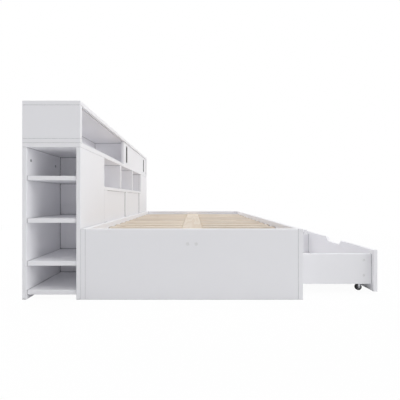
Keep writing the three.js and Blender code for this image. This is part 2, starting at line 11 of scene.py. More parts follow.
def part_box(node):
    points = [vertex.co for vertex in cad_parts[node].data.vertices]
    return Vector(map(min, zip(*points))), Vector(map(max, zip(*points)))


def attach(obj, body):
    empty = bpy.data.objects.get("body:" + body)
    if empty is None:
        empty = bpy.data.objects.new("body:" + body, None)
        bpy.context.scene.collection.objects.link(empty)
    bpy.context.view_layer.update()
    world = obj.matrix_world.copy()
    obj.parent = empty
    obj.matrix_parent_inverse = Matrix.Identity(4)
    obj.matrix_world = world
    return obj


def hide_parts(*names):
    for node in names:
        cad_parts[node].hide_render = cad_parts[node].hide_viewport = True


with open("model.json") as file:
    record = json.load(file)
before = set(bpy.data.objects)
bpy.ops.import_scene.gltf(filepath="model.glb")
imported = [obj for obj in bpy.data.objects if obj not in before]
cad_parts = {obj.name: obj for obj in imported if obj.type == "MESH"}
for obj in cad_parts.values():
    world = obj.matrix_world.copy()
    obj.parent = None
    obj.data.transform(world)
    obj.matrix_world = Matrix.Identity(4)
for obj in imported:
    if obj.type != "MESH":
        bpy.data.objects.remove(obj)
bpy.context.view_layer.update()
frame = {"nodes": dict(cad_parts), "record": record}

bl_info = {
    "name": "Daybed with storage",
    "version": (1, 0, 0),
    "blender": (4, 5, 0),
    "location": "3D View > Sidebar > Daybed",
    "description": "Finishes a white daybed with a bookcase, a slatted base and two drawers on casters",
    "category": "Object",
}

MAIN_BODY = "daybed_frame"
DOOR_BODY = "door"
DRAWERS = ("near", "far")
SIDES = ("left", "right")
ENDS = ("front", "back")
MM = 0.001

# Boards: painted shade in their joints and corners
# Faces turned this way, to the lit side, are mostly spared the end modules' painted corner shade
BED_SIDE = (1.0, 0.0, 0.0)
# The drawers' painted joint shade reaches this share as far as on the other boards
DRAWER_SHADE_SHARE = 0.6

# Casters
HUB_BORE_GAP = 0.3 * MM
HUB_WEB_SINK = 3 * MM
RIB_START = 7.0 * MM
RIB_HALF = 0.6 * MM
RIB_ROUNDING = 0.25 * MM

# Fasteners: caps after the marks in the photo, mirrored to sides that it hides; rivets and screws assumed
MODULE_CAP_INSET = 40 * MM
MODULE_CAP_DEPTH = 60 * MM
MODULE_CAP_HEIGHT = 76 * MM
DRAWER_CAP_SETBACK = 38 * MM
DRAWER_CAP_HEIGHTS = (88 * MM, 165 * MM)
DRAWER_CAP_SHARE = 0.85
BOLT_CAP_PROUD = 0.3 * MM
MODULE_CAP_PROUD = 0.8 * MM
DRAWER_CAP_PROUD = 0.5 * MM
RIVET_RADIUS = 4.2 * MM
FORK_SIDE = 3 * MM
STRIP_THICKNESS = 3 * MM
RAIL_SCREW_SHARES = (0.22, 0.5, 0.78)
RAIL_SCREW_OFFSET = 12 * MM
SLAT_SCREW_INSET = 14 * MM
SLAT_SCREW_SUNK = 1.6 * MM

# Stage
DIFFUSE_BOUNCES = 8
SENSOR_WIDTH = 36.0
FAR_CLIP = 200.0
FLOOR_HALF = 60.0
FLOOR_DROP = 0.3 * MM
FADE_START = 1.5
FADE_END = 4.0
LAMP_TARGET = (0.0, 0.0, 0.45)
FRONT_LAMP_SIZE = (5.6, 3.9)
FRONT_LAMP_PLACE = (10.5, -4.2, 3.6)
BACK_LAMP_SIZE = (3.6, 2.4)
BACK_LAMP_PLACE = (-4.6, 2.9, 3.3)
SUN_SPREAD = 70
SUN_DIRECTION = (0.1, -0.05, 1.0)


# Small tools for shader trees


def node(tree, kind, sockets=None, **settings):
    """Add a shader node, set its properties, and set or link its sockets."""
    made = tree.nodes.new(kind)
    for name, value in settings.items():
        setattr(made, name, value)
    for name, value in (sockets or {}).items():
        if isinstance(value, bpy.types.NodeSocket):
            tree.links.new(value, made.inputs[name])
        else:
            made.inputs[name].default_value = value
    return made


def maths(tree, operation, first, second=0.0, third=0.0):
    """One Math node, returned as its output socket."""
    made = node(tree, "ShaderNodeMath", {0: first, 1: second, 2: third}, operation=operation)
    return made.outputs[0]


def vector_maths(tree, operation, first, second):
    """One Vector Math node, returned as its vector output."""
    made = node(tree, "ShaderNodeVectorMath", {0: first, 1: second}, operation=operation)
    return made.outputs[0]


def blend_colours(tree, factor, first, second):
    """A colour between first and second, as an output socket."""
    made = tree.nodes.new("ShaderNodeMix")
    made.data_type = "RGBA"
    for index, value in ((0, factor), (6, first), (7, second)):
        if isinstance(value, bpy.types.NodeSocket):
            tree.links.new(value, made.inputs[index])
        else:
            made.inputs[index].default_value = value
    return made.outputs[2]


def smooth_step(tree, value, low, high):
    """0 below low and 1 above high, with a smooth change between."""
    sockets = {"Value": value, "From Min": low, "From Max": high, "To Min": 0.0, "To Max": 1.0}
    made = node(tree, "ShaderNodeMapRange", sockets, interpolation_type="SMOOTHSTEP", clamp=True)
    return made.outputs["Result"]


def new_group(name, inputs, outputs):
    """An empty shader node group with named sockets, and its input and output nodes."""
    tree = bpy.data.node_groups.new(name, "ShaderNodeTree")
    for label, kind, default in inputs:
        socket = tree.interface.new_socket(label, in_out="INPUT", socket_type="NodeSocket" + kind)
        if default is not None:
            socket.default_value = default
    for label, kind in outputs:
        tree.interface.new_socket(label, in_out="OUTPUT", socket_type="NodeSocket" + kind)
    return tree, tree.nodes.new("NodeGroupInput").outputs, tree.nodes.new("NodeGroupOutput").inputs


def use_group(tree, group, sockets):
    """Place a node group in a tree and return its outputs."""
    made = tree.nodes.new("ShaderNodeGroup")
    made.node_tree = group
    for name, value in sockets.items():
        if isinstance(value, bpy.types.NodeSocket):
            tree.links.new(value, made.inputs[name])
        else:
            made.inputs[name].default_value = value
    return made.outputs


def opaque(colour):
    """A colour property as the four numbers that a colour socket takes."""
    return (*colour, 1.0)


# Effects shared by several finishes


def fine_surface_group():
    """Fine height and slow mottling, for faced boards, plastics, rubber and metal."""
    name = "Fine surface"
    if name in bpy.data.node_groups:
        return bpy.data.node_groups[name]
    inputs = [
        ("Vector", "Vector", None),
        ("Grain Scale", "Float", 800.0),
        ("Mottle Scale", "Float", 4.0),
        ("Roughness", "Float", 0.4),
        ("Roughness Drift", "Float", 0.1),
    ]
    outputs = [("Height", "Float"), ("Mottle", "Float"), ("Roughness", "Float")]
    tree, given, result = new_group(name, inputs, outputs)
    grain = node(
        tree,
        "ShaderNodeTexNoise",
        {"Vector": given["Vector"], "Scale": given["Grain Scale"], "Detail": 2.0, "Roughness": 0.55},
    )
    mottle = node(
        tree,
        "ShaderNodeTexNoise",
        {"Vector": given["Vector"], "Scale": given["Mottle Scale"], "Detail": 3.0, "Roughness": 0.6},
    )
    centred = maths(tree, "SUBTRACT", mottle.outputs["Fac"], 0.5)
    drift = maths(tree, "MULTIPLY", centred, given["Roughness Drift"])
    tree.links.new(grain.outputs["Fac"], result["Height"])
    tree.links.new(mottle.outputs["Fac"], result["Mottle"])
    tree.links.new(maths(tree, "ADD", given["Roughness"], drift), result["Roughness"])
    return tree


def colour_drift_group():
    """A colour that lightens and darkens a little with a mottle mask."""
    name = "Colour drift"
    if name in bpy.data.node_groups:
        return bpy.data.node_groups[name]
    inputs = [
        ("Colour", "Color", (0.8, 0.8, 0.8, 1.0)),
        ("Mottle", "Float", 0.5),
        ("Drift", "Float", 0.05),
    ]
    tree, given, result = new_group(name, inputs, [("Colour", "Color")])
    centred = maths(tree, "SUBTRACT", given["Mottle"], 0.5)
    gain = maths(tree, "MULTIPLY_ADD", centred, given["Drift"], 1.0)
    scaled = node(tree, "ShaderNodeVectorMath", {0: given["Colour"]}, operation="SCALE")
    tree.links.new(gain, scaled.inputs["Scale"])
    tree.links.new(scaled.outputs[0], result["Colour"])
    return tree


def dust_group():
    """A thin film of dust that lies on what faces up and gathers in patches."""
    name = "Settled dust"
    if name in bpy.data.node_groups:
        return bpy.data.node_groups[name]
    inputs = [
        ("Vector", "Vector", None),
        ("Colour", "Color", (0.8, 0.8, 0.8, 1.0)),
        ("Dust Colour", "Color", (0.62, 0.59, 0.54, 1.0)),
        ("Amount", "Float", 0.06),
    ]
    tree, given, result = new_group(name, inputs, [("Colour", "Color"), ("Mask", "Float")])
    geometry = tree.nodes.new("ShaderNodeNewGeometry")
    normal = node(tree, "ShaderNodeSeparateXYZ", {"Vector": geometry.outputs["Normal"]})
    upward = smooth_step(tree, normal.outputs["Z"], 0.6, 0.95)
    patches = node(
        tree,
        "ShaderNodeTexNoise",
        {"Vector": given["Vector"], "Scale": 9.0, "Detail": 5.0, "Roughness": 0.7},
    )
    patchy = smooth_step(tree, patches.outputs["Fac"], 0.3, 0.75)
    amount = maths(tree, "MULTIPLY", upward, given["Amount"])
    mask = maths(tree, "MULTIPLY", amount, patchy)
    colour = blend_colours(tree, mask, given["Colour"], given["Dust Colour"])
    tree.links.new(colour, result["Colour"])
    tree.links.new(mask, result["Mask"])
    return tree


def painted_joint_shade_group():
    """Paints shade into the grooves and inner corners where boards meet, found by an ambient-occlusion
    mask, and less on a spared side.
    """
    name = "Joint line"
    if name in bpy.data.node_groups:
        return bpy.data.node_groups[name]
    inputs = [
        ("Colour", "Color", (0.8, 0.8, 0.8, 1.0)),
        ("Shade Colour", "Color", (0.3, 0.3, 0.3, 1.0)),
        ("Reach", "Float", 0.004),
        ("Spared Side", "Vector", (0.0, 0.0, 0.0)),
    ]
    tree, given, result = new_group(name, inputs, [("Colour", "Color"), ("Mask", "Float")])
    hollow = node(tree, "ShaderNodeAmbientOcclusion", {"Distance": given["Reach"]}, samples=6)
    depth = smooth_step(tree, hollow.outputs["AO"], 0.9, 0.45)
    geometry = tree.nodes.new("ShaderNodeNewGeometry")
    turned = node(
        tree,
        "ShaderNodeVectorMath",
        {0: geometry.outputs["Normal"], 1: given["Spared Side"]},
        operation="DOT_PRODUCT",
    )
    spared = smooth_step(tree, turned.outputs["Value"], 0.5, 0.9)
    kept = maths(tree, "MULTIPLY_ADD", spared, -0.8, 1.0)
    mask = maths(tree, "MULTIPLY", depth, kept)
    tree.links.new(blend_colours(tree, mask, given["Colour"], given["Shade Colour"]), result["Colour"])
    tree.links.new(mask, result["Mask"])
    return tree


def pine_grain_group():
    """Pine with growth rings, fibres and a few knots; the grain runs along the vector's X."""
    name = "Pine grain"
    if name in bpy.data.node_groups:
        return bpy.data.node_groups[name]
    inputs = [
        ("Vector", "Vector", None),
        ("Seed", "Float", 0.0),
        ("Early Wood", "Color", (0.7, 0.58, 0.42, 1.0)),
        ("Late Wood", "Color", (0.56, 0.42, 0.27, 1.0)),
        ("Knot Colour", "Color", (0.24, 0.13, 0.06, 1.0)),
        ("Ring Count", "Float", 9.0),
    ]
    outputs = [("Colour", "Color"), ("Roughness", "Float"), ("Height", "Float")]
    tree, given, result = new_group(name, inputs, outputs)
    shift = node(tree, "ShaderNodeCombineXYZ")
    for axis, step in (("X", 3.7), ("Y", 1.9), ("Z", 2.3)):
        tree.links.new(maths(tree, "MULTIPLY", given["Seed"], step), shift.inputs[axis])
    moved = vector_maths(tree, "ADD", given["Vector"], shift.outputs[0])
    stretched = vector_maths(tree, "MULTIPLY", moved, (0.9, 11.0, 11.0))
    swirl = node(tree, "ShaderNodeTexNoise", {"Vector": stretched, "Scale": 1.0, "Detail": 1.5})
    wave = maths(tree, "MULTIPLY", swirl.outputs["Fac"], given["Ring Count"])
    ring = maths(tree, "FRACT", wave)
    rise = smooth_step(tree, ring, 0.15, 0.86)
    fall = smooth_step(tree, ring, 1.0, 0.9)
    late = maths(tree, "MULTIPLY", rise, fall)
    fibre_vector = vector_maths(tree, "MULTIPLY", moved, (14.0, 900.0, 900.0))
    fibre = node(tree, "ShaderNodeTexNoise", {"Vector": fibre_vector, "Scale": 1.0, "Detail": 2.0})
    wood = blend_colours(tree, late, given["Early Wood"], given["Late Wood"])
    streak = maths(tree, "MULTIPLY_ADD", fibre.outputs["Fac"], 0.16, 0.92)
    streaked = node(tree, "ShaderNodeVectorMath", {0: wood}, operation="SCALE")
    tree.links.new(streak, streaked.inputs["Scale"])
    knot_vector = vector_maths(tree, "MULTIPLY", moved, (2.6, 4.5, 4.5))
    cells = node(tree, "ShaderNodeTexVoronoi", {"Vector": knot_vector, "Scale": 1.0})
    spread = node(tree, "ShaderNodeSeparateXYZ", {"Vector": cells.outputs["Color"]})
    chosen = smooth_step(tree, spread.outputs["X"], 0.62, 0.64)
    near = smooth_step(tree, cells.outputs["Distance"], 0.062, 0.03)
    knot = maths(tree, "MULTIPLY", maths(tree, "MULTIPLY", near, chosen), 0.75)
    colour = blend_colours(tree, knot, streaked.outputs[0], given["Knot Colour"])
    rough = maths(tree, "MULTIPLY_ADD", fibre.outputs["Fac"], 0.12, 0.58)
    raised = maths(tree, "MULTIPLY_ADD", late, 0.5, fibre.outputs["Fac"])
    tree.links.new(colour, result["Colour"])
    tree.links.new(rough, result["Roughness"])
    tree.links.new(raised, result["Height"])
    return tree


# Finishes


def new_material(name):
    """A node material with its Principled shader, and the object coordinates to paint by."""
    material = bpy.data.materials.new(name)
    material.use_nodes = True
    tree = material.node_tree
    shader = tree.nodes["Principled BSDF"]
    coordinates = tree.nodes.new("ShaderNodeTexCoord").outputs["Object"]
    return material, tree, shader, coordinates


def bump(tree, shader, height, depth):
    """Feed a height, times a depth in metres, to the shader's normal."""
    made = node(tree, "ShaderNodeBump", {"Height": height, "Distance": depth, "Strength": 1.0})
    tree.links.new(made.outputs["Normal"], shader.inputs["Normal"])


def plain_finish(
    name,
    colour,
    roughness,
    grain_scale,
    grain_height,
    drift=0.06,
    dust=0.0,
    joint_shade_colour=None,
    joint_shade_reach=4 * MM,
    spared_side=(0.0, 0.0, 0.0),
    **shader_values,
):
    """A painted, moulded or plated surface: fine texture, mottled sheen and an even colour."""
    material, tree, shader, coordinates = new_material(name)
    surface = use_group(
        tree,
        fine_surface_group(),
        {
            "Vector": coordinates,
            "Grain Scale": grain_scale,
            "Mottle Scale": 6.0,
            "Roughness": roughness,
            "Roughness Drift": 0.14,
        },
    )
    tone = use_group(
        tree,
        colour_drift_group(),
        {"Colour": opaque(colour), "Mottle": surface["Mottle"], "Drift": drift},
    )
    last_colour = tone["Colour"]
    if dust > 0:
        film_values = {"Vector": coordinates, "Colour": last_colour, "Amount": dust}
        film = use_group(tree, dust_group(), film_values)
        last_colour = film["Colour"]
    # Painted shade: an ambient-occlusion mask darkens the colour in grooves and inner corners
    if joint_shade_colour is not None:
        lines = use_group(
            tree,
            painted_joint_shade_group(),
            {
                "Colour": last_colour,
                "Shade Colour": opaque(joint_shade_colour),
                "Reach": joint_shade_reach,
                "Spared Side": spared_side,
            },
        )
        last_colour = lines["Colour"]
    tree.links.new(last_colour, shader.inputs["Base Color"])
    tree.links.new(surface["Roughness"], shader.inputs["Roughness"])
    for socket, value in shader_values.items():
        shader.inputs[socket.replace("_", " ")].default_value = value
    bump(tree, shader, surface["Height"], grain_height)
    return material


def pine_finish(name, slats, along):
    """Bare pine with its grain along one of the object's axes."""
    material, tree, shader, coordinates = new_material(name)
    split = node(tree, "ShaderNodeSeparateXYZ", {"Vector": coordinates})
    order = {"X": "XYZ", "Y": "YXZ", "Z": "ZXY"}[along]
    grain_vector = node(tree, "ShaderNodeCombineXYZ")
    for target, source in zip("XYZ", order):
        tree.links.new(split.outputs[source], grain_vector.inputs[target])
    seed = node(tree, "ShaderNodeAttribute", attribute_name="slat_seed").outputs["Fac"]
    grain = use_group(
        tree,
        pine_grain_group(),
        {
            "Vector": grain_vector.outputs[0],
            "Seed": seed,
            "Early Wood": opaque(slats.early_wood),
            "Late Wood": opaque(slats.late_wood),
            "Knot Colour": opaque(slats.knot_colour),
        },
    )
    tone = use_group(
        tree,
        colour_drift_group(),
        {"Colour": grain["Colour"], "Mottle": maths(tree, "FRACT", seed), "Drift": slats.tone_spread},
    )
    tree.links.new(tone["Colour"], shader.inputs["Base Color"])
    tree.links.new(grain["Roughness"], shader.inputs["Roughness"])
    shader.inputs["Specular IOR Level"].default_value = 0.3
    bump(tree, shader, grain["Height"], slats.grain_depth)
    return material


def webbing_finish(name, colour):
    """Woven tape: crossing ribs 2.4 mm apart."""
    material, tree, shader, coordinates = new_material(name)
    ribs = []
    for axis in ("X", "Y"):
        wave = node(
            tree,
            "ShaderNodeTexWave",
            {"Vector": coordinates, "Scale": 130.0, "Distortion": 0.4},
            wave_type="BANDS",
            bands_direction=axis,
        )
        ribs.append(wave.outputs["Fac"])
    weave = maths(tree, "MULTIPLY", ribs[0], ribs[1])
    tone = use_group(
        tree,
        colour_drift_group(),
        {"Colour": opaque(colour), "Mottle": weave, "Drift": 0.25},
    )
    tree.links.new(tone["Colour"], shader.inputs["Base Color"])
    shader.inputs["Roughness"].default_value = 0.85
    shader.inputs["Sheen Weight"].default_value = 0.2
    bump(tree, shader, weave, 0.3 * MM)
    return material


# Mesh tools


def append_part(target, source, matrix=None):
    """Add a small mesh, moved by a matrix, to a larger one under construction."""
    if matrix is not None:
        bmesh.ops.transform(source, matrix=matrix, verts=source.verts)
    carrier = bpy.data.meshes.new("carrier")
    source.to_mesh(carrier)
    source.free()
    target.from_mesh(carrier)
    bpy.data.meshes.remove(carrier)


def rounded_box(low, high, radius, segments=3):
    """A box between two corners with all its edges rounded."""
    made = bmesh.new()
    low, high = Vector(low), Vector(high)
    size = high - low
    bmesh.ops.create_cube(made, size=1.0)
    bmesh.ops.scale(made, vec=size, verts=made.verts)
    bmesh.ops.translate(made, vec=(low + high) / 2, verts=made.verts)
    bmesh.ops.bevel(
        made,
        geom=made.edges[:],
        offset=radius,
        segments=segments,
        profile=0.5,
        affect="EDGES",
        clamp_overlap=True,
    )
    return made


def turned(profile, segments):
    """A closed shape turned about local Z from (radius, height) pairs, bottom to top outside."""
    made = bmesh.new()
    rings = []
    for radius, height in profile:
        if radius < 1e-7:
            rings.append([made.verts.new((0, 0, height))])
            continue
        ring = []
        for step in range(segments):
            angle = 2 * math.pi * step / segments
            ring.append(made.verts.new((radius * math.cos(angle), radius * math.sin(angle), height)))
        rings.append(ring)
    closed = len(rings[0]) > 1 and len(rings[-1]) > 1
    pairs = list(zip(rings, rings[1:])) + ([(rings[-1], rings[0])] if closed else [])
    for lower, upper in pairs:
        bridge(made, lower, upper, segments)
    return made


def bridge(made, lower, upper, segments):
    """Faces between two rings of as many points, either of which may be a single point."""
    for step in range(segments):
        following = (step + 1) % segments
        if len(lower) == 1 and len(upper) == 1:
            return
        if len(lower) == 1:
            made.faces.new((lower[0], upper[following], upper[step]))
        elif len(upper) == 1:
            made.faces.new((lower[step], lower[following], upper[0]))
        else:
            made.faces.new((lower[step], lower[following], upper[following], upper[step]))


def facing(direction, place):
    """A matrix that turns local Z towards a direction and moves the origin to a place."""
    turn = Vector((0, 0, 1)).rotation_difference(Vector(direction)).to_matrix().to_4x4()
    return Matrix.Translation(Vector(place)) @ turn


def add_piece(name, made, material, body, replaced=(), sharp_above=35):
    """Turn a finished mesh into a piece that rides on a body of the frame."""
    bmesh.ops.recalc_face_normals(made, faces=made.faces)
    mesh = bpy.data.meshes.new(name)
    made.to_mesh(mesh)
    made.free()
    mesh.materials.append(material)
    mesh.polygons.foreach_set("use_smooth", [True] * len(mesh.polygons))
    mesh.set_sharp_from_angle(angle=math.radians(sharp_above))
    piece = bpy.data.objects.new(name, mesh)
    bpy.context.scene.collection.objects.link(piece)
    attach(piece, body)
    if replaced:
        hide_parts(*replaced)
    return piece


def finish_nodes(names, material):
    """Give carried-over nodes a finish in their own material slots."""
    for name in names:
        for held in frame["nodes"][name].material_slots:
            held.material = material


def nodes_of_slot(slot):
    """The nodes that the record gives one material slot."""
    return [part["node"] for part in frame["record"]["subparts"] if part["material_slot"] == slot]


# Settings


def colour_setting(name, description, default):
    """A property that holds a colour."""
    return FloatVectorProperty(
        name=name, description=description, subtype="COLOR", size=3, min=0.0, max=1.0, default=default
    )


def length_setting(name, description, default, least=0.0):
    """A property that holds a length, in metres."""
    return FloatProperty(name=name, description=description, unit="LENGTH", min=least, default=default)


class DaybedBoardSettings(bpy.types.PropertyGroup):
    """The white faced boards of the bookcase, bed and drawers."""

    colour: colour_setting("Facing colour", "Colour of the white melamine facing", (0.93, 0.928, 0.95))
    # Painted shade: the boards darken in the grooves and inner corners where they meet, by an
    # ambient-occlusion mask
    joint_shade_colour: colour_setting(
        "Joint lines", "Colour painted into the grooves where two boards meet", (0.22, 0.22, 0.23)
    )
    joint_shade_reach: length_setting(
        "Joint line reach", "How far a joint line darkens the boards beside it", 4 * MM
    )
    # Painted shade, darker and wider, in the inner corners of the end modules
    module_corner_shade_colour: colour_setting(
        "End module painted shade",
        "Dark colour painted into the inner corners of the end modules",
        (0.06, 0.06, 0.065),
    )
    module_corner_shade_reach: length_setting(
        "End module shade reach", "How far the lines in the end modules reach", 7 * MM
    )
    roughness: FloatProperty(
        name="Roughness",
        description="How dull the facing is",
        subtype="FACTOR",
        min=0.0,
        max=1.0,
        default=0.46,
    )
    peel_height: length_setting("Peel height", "Height of the facing's fine texture", 0.02 * MM)


class DaybedSlatSettings(bpy.types.PropertyGroup):
    """The slatted base of bare pine."""

    count: IntProperty(name="Slats", description="Slats in each roll", min=2, default=13)
    width: length_setting("Slat width", "Width of one slat", 70 * MM, least=0.01)
    thickness: length_setting("Slat thickness", "Thickness of one slat", 15 * MM, least=0.002)
    rounding: length_setting("Edge rounding", "Radius of a slat's edges", 2.2 * MM)
    tape_width: length_setting("Tape width", "Width of the tapes", 20 * MM, least=0.001)
    tape_inset: length_setting("Tape inset", "From a slat's end to the middle of its tape", 60 * MM)
    early_wood: colour_setting("Early wood", "Colour between the growth rings", (0.8, 0.71, 0.605))
    late_wood: colour_setting("Late wood", "Colour of the growth rings", (0.74, 0.63, 0.51))
    knot_colour: colour_setting("Knots", "Colour of the knots", (0.26, 0.15, 0.08))
    tone_spread: FloatProperty(
        name="Tone spread",
        description="How much one slat differs from the next",
        subtype="FACTOR",
        min=0.0,
        max=1.0,
        default=0.1,
    )
    grain_depth: length_setting("Grain depth", "Height of the raised grain", 0.12 * MM)


class DaybedPullSettings(bpy.types.PropertyGroup):
    """The black flush pulls of the sliding door."""

    colour: colour_setting("Colour", "Colour of the moulded plastic", (0.018, 0.018, 0.02))
    lip: length_setting("Lip", "Width of the lip on the door's face", 2.5 * MM)
    lip_height: length_setting("Lip height", "How far the lip stands out", 1.5 * MM)
    bead: length_setting("Bead", "How far the lip's rounded bead rises above it", 1 * MM)
    wall: length_setting("Wall", "Thickness of the cup's wall and floor", 2.5 * MM)


class DaybedCasterSettings(bpy.types.PropertyGroup):
    """The casters under the drawers."""

    tyre_colour: colour_setting("Tyre", "Colour of the rubber tyre", (0.016, 0.016, 0.017))
    hub_colour: colour_setting("Hub", "Colour of the plastic hub", (0.22, 0.22, 0.23))
    tyre_depth: length_setting("Tyre depth", "Depth of the rubber tyre", 5 * MM)
    axle_radius: length_setting("Axle radius", "Radius of the axle in its fork", 3 * MM)


class DaybedFastenerSettings(bpy.types.PropertyGroup):
    """Caps and screws."""

    cam_cap_radius: length_setting("Cam cap radius", "Radius of a cam fitting's cap", 7 * MM)
    bolt_cap_radius: length_setting("Bolt cap radius", "Radius of a bolt's cap", 7.5 * MM)
    bolt_spacing: length_setting(
        "Bolt spacing", "Distance between the two bolts into the centre beam", 40 * MM
    )
    bolt_depth: length_setting("Bolt depth", "From the slats' top down to the bolts", 41 * MM)
    screw_radius: length_setting("Screw head radius", "Radius of a screw's head", 3.6 * MM)
    cap_colour: colour_setting(
        "Cap colour", "Colour of the caps on the end panels and drawers", (0.83, 0.83, 0.84)
    )
    # Painted shade: the caps inside the end modules are a darker copy of the cap finish, standing for the
    # shade in those compartments
    module_cap_shade_colour: colour_setting(
        "Module cap shade", "Colour of the caps inside the end modules", (0.38, 0.38, 0.39)
    )


class DaybedStageSettings(bpy.types.PropertyGroup):
    """Camera, floor and lamps."""

    lens: FloatProperty(name="Lens", description="Focal length in millimetres", min=1.0, default=26.87)
    camera_place: FloatVectorProperty(
        name="Camera place",
        description="Where the camera stands in the object's frame",
        subtype="TRANSLATION",
        unit="LENGTH",
        size=3,
        default=(-0.0625, -2.39, 0.4742),
    )
    shift: FloatVectorProperty(
        name="Shift",
        description="Sideways and upright shift of the picture",
        size=2,
        default=(0.01675, -0.00375),
    )
    floor_colour: colour_setting("Floor", "Colour of the pale floor", (0.9, 0.9, 0.9))
    floor_glow: FloatProperty(
        name="Floor glow",
        description="How far the floor fades into the white surroundings",
        subtype="FACTOR",
        min=0.0,
        max=1.0,
        default=0.96,
    )
    ambient: FloatProperty(name="Ambient", description="Light from all round", min=0.0, default=0.23)
    ambient_colour: colour_setting(
        "Ambient colour", "Colour of the light from all round", (0.95, 0.96, 1.0)
    )
    front_power: FloatProperty(
        name="Front softbox",
        description="Power of the softbox on the drawers' side",
        min=0.0,
        default=440.0,
    )
    back_power: FloatProperty(
        name="Back softbox",
        description="Power of the softbox behind the case",
        min=0.0,
        default=115.0,
    )
    top_strength: FloatProperty(
        name="Top light", description="Strength of the high soft sun", min=0.0, default=1.78
    )


# Operators


class DAYBED_OT_boards(bpy.types.Operator):
    """Finish every white board"""

    bl_idname = "daybed.boards"
    bl_label = "White boards"

    def execute(self, context):
        boards = context.scene.daybed_boards
        joint_shade_colour, reach = boards.joint_shade_colour, boards.joint_shade_reach
        module_shade_colour, module_reach = boards.module_corner_shade_colour, boards.module_corner_shade_reach
        # The three melamines differ only in painted shade: the end modules' is darker and wider and
        # mostly spares faces turned to the bed's side; the drawers' reaches less far
        white = self.melamine("white_melamine", boards, joint_shade_colour, reach)
        module = self.melamine("module_melamine_shaded_corners", boards, module_shade_colour, module_reach, BED_SIDE)
        drawer = self.melamine("drawer_melamine", boards, joint_shade_colour, DRAWER_SHADE_SHARE * reach)
        names = nodes_of_slot("white_board")
        pieces = ("rear_panel", "front_panel", "partition", "shelf")
        in_modules = [name for name in names if name.endswith(pieces) and name[:4] in ("near", "far_")]
        in_drawers = [name for name in names if "drawer" in name]
        finish_nodes(names, white)
        finish_nodes(in_modules, module)
        finish_nodes(in_drawers, drawer)
        return {"FINISHED"}

    def melamine(self, name, boards, joint_shade_colour, joint_shade_reach, spared_side=(0.0, 0.0, 0.0)):
        """White melamine facing, with painted shade of one colour and reach in its joints and inner
        corners.
        """
        return plain_finish(
            name,
            boards.colour,
            boards.roughness,
            grain_scale=700.0,
            grain_height=boards.peel_height,
            drift=0.02,
            dust=0.05,
            joint_shade_colour=joint_shade_colour,
            joint_shade_reach=joint_shade_reach,
            spared_side=spared_side,
        )


class DAYBED_OT_slats(bpy.types.Operator):
    """Lay out the pine slats and their tapes, and finish the beam and its leg"""

    bl_idname = "daybed.slats"
    bl_label = "Slatted base"

    def execute(self, context):
        slats = context.scene.daybed_slats
        pine = pine_finish("pine_slats", slats, "X")
        tape = webbing_finish("tape_webbing", (0.62, 0.61, 0.58))
        for roll in ("rear_slat_roll", "front_slat_roll"):
            self.lay_roll(roll, slats, pine, tape)
        finish_nodes(["centre_beam"], pine_finish("pine_beam", slats, "Y"))
        finish_nodes(["centre_leg"], pine_finish("pine_leg", slats, "Z"))
        return {"FINISHED"}

    def lay_roll(self, roll, slats, pine, tape):
        """One roll: rounded slats at their pitch, each with its own grain, on two tapes."""
        low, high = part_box(roll)
        pitch = (high.y - low.y - slats.width) / (slats.count - 1)
        made = bmesh.new()
        made.verts.layers.float.new("slat_seed")
        chance = random.Random(roll)
        for index in range(slats.count):
            y = low.y + index * pitch
            corner = (low.x, y, high.z - slats.thickness)
            slat = rounded_box(corner, (high.x, y + slats.width, high.z), slats.rounding)
            known = len(made.verts)
            append_part(made, slat)
            made.verts.ensure_lookup_table()
            seeds = made.verts.layers.float["slat_seed"]
            seed = chance.uniform(1.0, 60.0)
            for vertex in made.verts[known:]:
                vertex[seeds] = seed
        add_piece(roll.replace("roll", "boards"), made, pine, MAIN_BODY, [roll])
        tapes = bmesh.new()
        margin = 2 * slats.rounding
        for middle in (low.x + slats.tape_inset, high.x - slats.tape_inset):
            half = slats.tape_width / 2
            start = (middle - half, low.y + margin, low.z)
            end = (middle + half, high.y - margin, high.z - slats.thickness)
            append_part(tapes, rounded_box(start, end, 0.5 * MM, 2))
        add_piece(roll.replace("roll", "tapes"), tapes, tape, MAIN_BODY)


